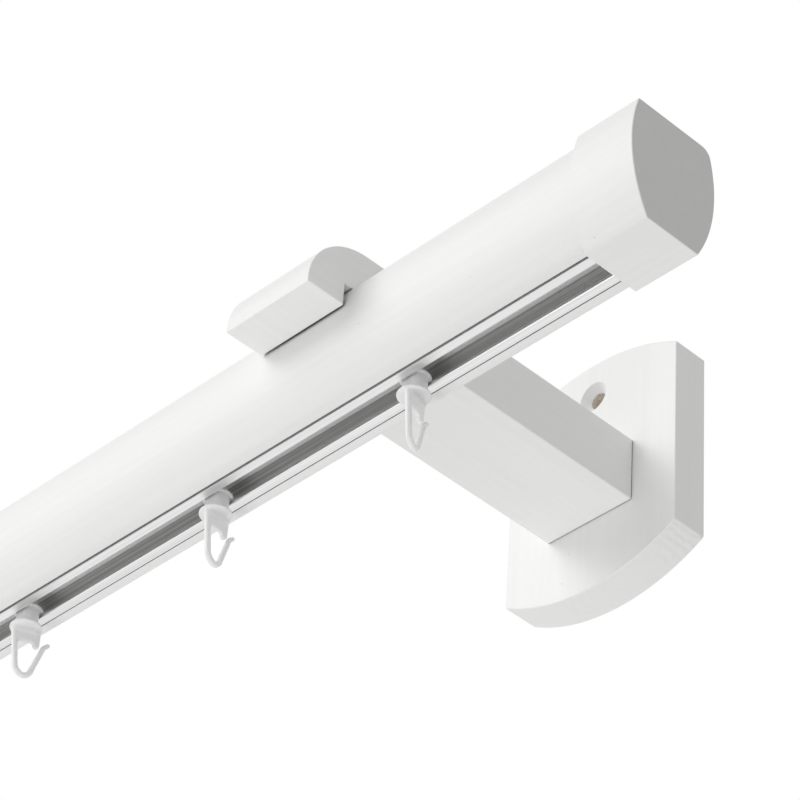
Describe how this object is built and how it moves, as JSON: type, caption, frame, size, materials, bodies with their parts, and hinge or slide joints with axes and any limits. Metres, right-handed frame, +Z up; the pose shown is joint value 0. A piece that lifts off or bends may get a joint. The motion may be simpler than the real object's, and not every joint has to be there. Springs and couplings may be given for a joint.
{
  "type": "wooden curtain rod",
  "caption": "White lacquered wooden curtain rod with a flat underside, an inner aluminium glider track, end caps, wall brackets and swivelling hook gliders.",
  "frame": {"origin": "on the wall face, midway between the two wall screws", "axes": "+X along the rod towards its right end, +Y into the wall, +Z up"},
  "size_m": [1.036, 0.1189, 0.0905],
  "materials": {
    "white_lacquered_wood": "satin white lacquer",
    "aluminium": "satin anodised, drawn lengthwise",
    "zinc_plated_steel": "bright zinc plate",
    "bare_beech": "bare fluted beech",
    "white_plastic": "translucent white moulding"
  },
  "bodies": {
    "rod": {"pole": "white_lacquered_wood", "track": "aluminium", "track_screws": "zinc_plated_steel", "end_cap_right": "white_lacquered_wood", "end_cap_left": "white_lacquered_wood", "cap_dowels": "bare_beech", "bracket_arm_right": "white_lacquered_wood", "wall_plate_right": "white_lacquered_wood", "bracket_arm_left": "white_lacquered_wood", "wall_plate_left": "white_lacquered_wood", "arm_screws": "zinc_plated_steel", "arm_pegs": "bare_beech", "pole_screws": "zinc_plated_steel"},
    "slider_01": {"glider_01": "white_plastic"},
    "swivel_hook_01": {"hook_01": "white_plastic"},
    "slider_02": {"glider_02": "white_plastic"},
    "swivel_hook_02": {"hook_02": "white_plastic"},
    "slider_03": {"glider_03": "white_plastic"},
    "swivel_hook_03": {"hook_03": "white_plastic"},
    "slider_04": {"glider_04": "white_plastic"},
    "swivel_hook_04": {"hook_04": "white_plastic"},
    "slider_05": {"glider_05": "white_plastic"},
    "swivel_hook_05": {"hook_05": "white_plastic"},
    "slider_06": {"glider_06": "white_plastic"},
    "swivel_hook_06": {"hook_06": "white_plastic"},
    "slider_07": {"glider_07": "white_plastic"},
    "swivel_hook_07": {"hook_07": "white_plastic"},
    "slider_08": {"glider_08": "white_plastic"},
    "swivel_hook_08": {"hook_08": "white_plastic"},
    "slider_09": {"glider_09": "white_plastic"},
    "swivel_hook_09": {"hook_09": "white_plastic"},
    "slider_10": {"glider_10": "white_plastic"},
    "swivel_hook_10": {"hook_10": "white_plastic"}
  },
  "joints": [
    {"name": "glider_01_slide", "type": "slide", "parent": "rod", "child": "slider_01", "axis": [1, 0, 0], "range_m": [-0.0524, 0.0563]},
    {"name": "hook_01_swivel", "type": "hinge", "parent": "slider_01", "child": "swivel_hook_01", "pos_m": [0.4396, -0.0945, -0.06245], "axis": [0, 0, 1], "continuous": true},
    {"name": "glider_02_slide", "type": "slide", "parent": "rod", "child": "slider_02", "axis": [1, 0, 0], "range_m": [-0.056, 0.0524]},
    {"name": "hook_02_swivel", "type": "hinge", "parent": "slider_02", "child": "swivel_hook_02", "pos_m": [0.373, -0.0945, -0.06245], "axis": [0, 0, 1], "continuous": true},
    {"name": "glider_03_slide", "type": "slide", "parent": "rod", "child": "slider_03", "axis": [1, 0, 0], "range_m": [-0.0838, 0.056]},
    {"name": "hook_03_swivel", "type": "hinge", "parent": "slider_03", "child": "swivel_hook_03", "pos_m": [0.3028, -0.0945, -0.06245], "axis": [0, 0, 1], "continuous": true},
    {"name": "glider_04_slide", "type": "slide", "parent": "rod", "child": "slider_04", "axis": [1, 0, 0], "range_m": [-0.0838, 0.0838]},
    {"name": "hook_04_swivel", "type": "hinge", "parent": "slider_04", "child": "swivel_hook_04", "pos_m": [0.2048, -0.0945, -0.06245], "axis": [0, 0, 1], "continuous": true},
    {"name": "glider_05_slide", "type": "slide", "parent": "rod", "child": "slider_05", "axis": [1, 0, 0], "range_m": [-0.0838, 0.0838]},
    {"name": "hook_05_swivel", "type": "hinge", "parent": "slider_05", "child": "swivel_hook_05", "pos_m": [0.1068, -0.0945, -0.06245], "axis": [0, 0, 1], "continuous": true},
    {"name": "glider_06_slide", "type": "slide", "parent": "rod", "child": "slider_06", "axis": [1, 0, 0], "range_m": [-0.0838, 0.0838]},
    {"name": "hook_06_swivel", "type": "hinge", "parent": "slider_06", "child": "swivel_hook_06", "pos_m": [0.0088, -0.0945, -0.06245], "axis": [0, 0, 1], "continuous": true},
    {"name": "glider_07_slide", "type": "slide", "parent": "rod", "child": "slider_07", "axis": [1, 0, 0], "range_m": [-0.0838, 0.0838]},
    {"name": "hook_07_swivel", "type": "hinge", "parent": "slider_07", "child": "swivel_hook_07", "pos_m": [-0.0892, -0.0945, -0.06245], "axis": [0, 0, 1], "continuous": true},
    {"name": "glider_08_slide", "type": "slide", "parent": "rod", "child": "slider_08", "axis": [1, 0, 0], "range_m": [-0.0838, 0.0838]},
    {"name": "hook_08_swivel", "type": "hinge", "parent": "slider_08", "child": "swivel_hook_08", "pos_m": [-0.1872, -0.0945, -0.06245], "axis": [0, 0, 1], "continuous": true},
    {"name": "glider_09_slide", "type": "slide", "parent": "rod", "child": "slider_09", "axis": [1, 0, 0], "range_m": [-0.0838, 0.0838]},
    {"name": "hook_09_swivel", "type": "hinge", "parent": "slider_09", "child": "swivel_hook_09", "pos_m": [-0.2852, -0.0945, -0.06245], "axis": [0, 0, 1], "continuous": true},
    {"name": "glider_10_slide", "type": "slide", "parent": "rod", "child": "slider_10", "axis": [1, 0, 0], "range_m": [-0.1127, 0.0838]},
    {"name": "hook_10_swivel", "type": "hinge", "parent": "slider_10", "child": "swivel_hook_10", "pos_m": [-0.3832, -0.0945, -0.06245], "axis": [0, 0, 1], "continuous": true}
  ]
}
